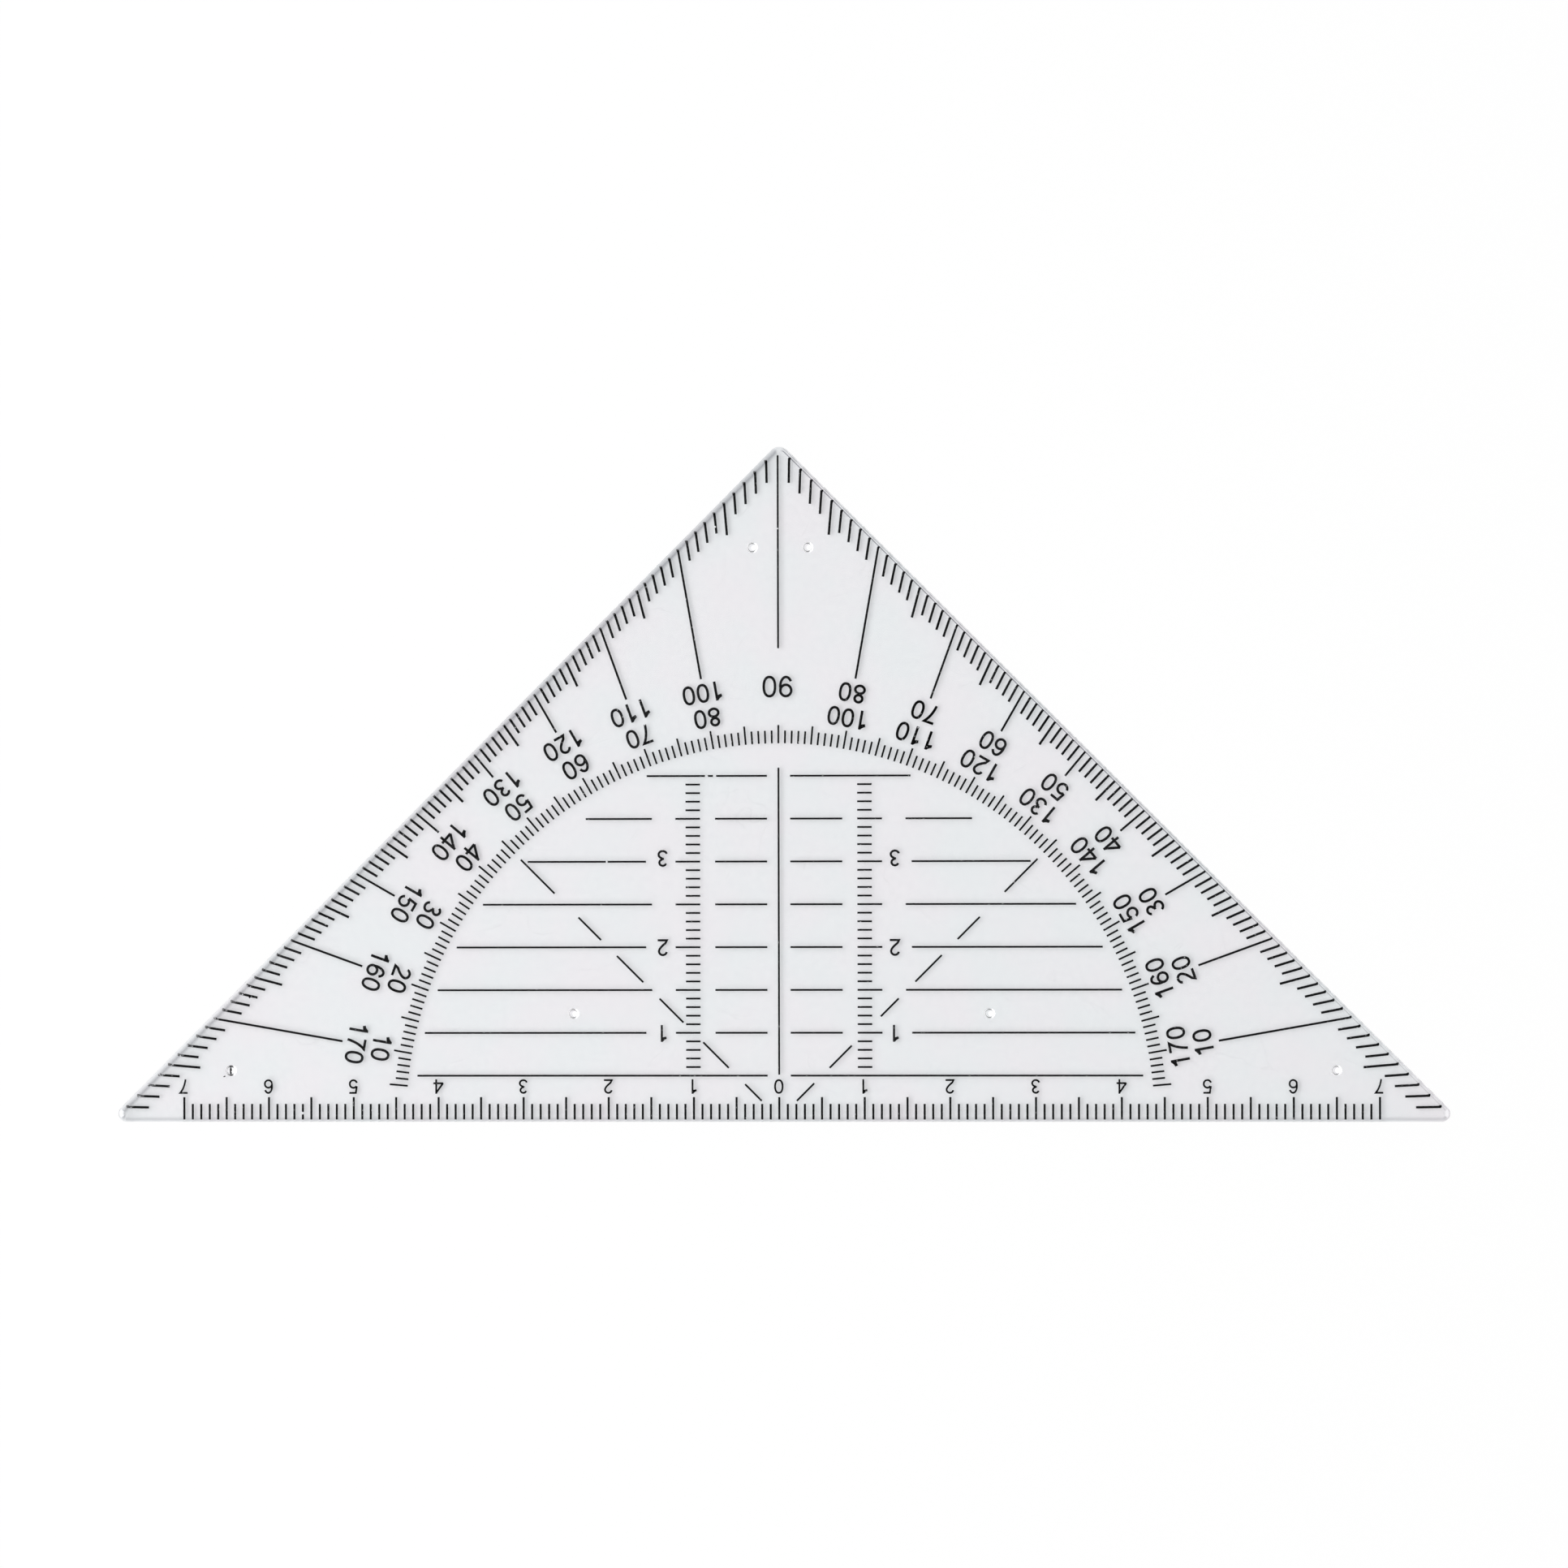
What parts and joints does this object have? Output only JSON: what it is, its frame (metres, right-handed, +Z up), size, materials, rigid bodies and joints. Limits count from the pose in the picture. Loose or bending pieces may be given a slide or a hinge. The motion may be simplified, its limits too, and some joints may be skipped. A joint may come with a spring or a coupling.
{
  "type": "protractor set square",
  "caption": "Clear 45-degree set square with a centimetre ruler, protractor scales, parallel lines and height scales printed on its underside, on small domed feet.",
  "frame": {"origin": "under the middle of the ruling edge, on the surface that the feet stand on", "axes": "+X along the ruling edge to the right, +Y from the ruling edge to the right-angled apex, +Z up out of the smooth face, away from the paper"},
  "size_m": [0.1558, 0.0787, 0.0019],
  "materials": {
    "clear_plastic": "gloss",
    "printing_ink": "satin"
  },
  "bodies": {
    "root": {"plate": "clear_plastic", "edge_ruler": "printing_ink", "arc_scale": "printing_ink", "left_leg_scale": "printing_ink", "right_leg_scale": "printing_ink", "left_ray_lines": "printing_ink", "right_ray_lines": "printing_ink", "centre_line": "printing_ink", "left_parallel_lines": "printing_ink", "right_parallel_lines": "printing_ink", "left_height_scale": "printing_ink", "right_height_scale": "printing_ink", "left_diagonal": "printing_ink", "right_diagonal": "printing_ink"}
  },
  "joints": []
}
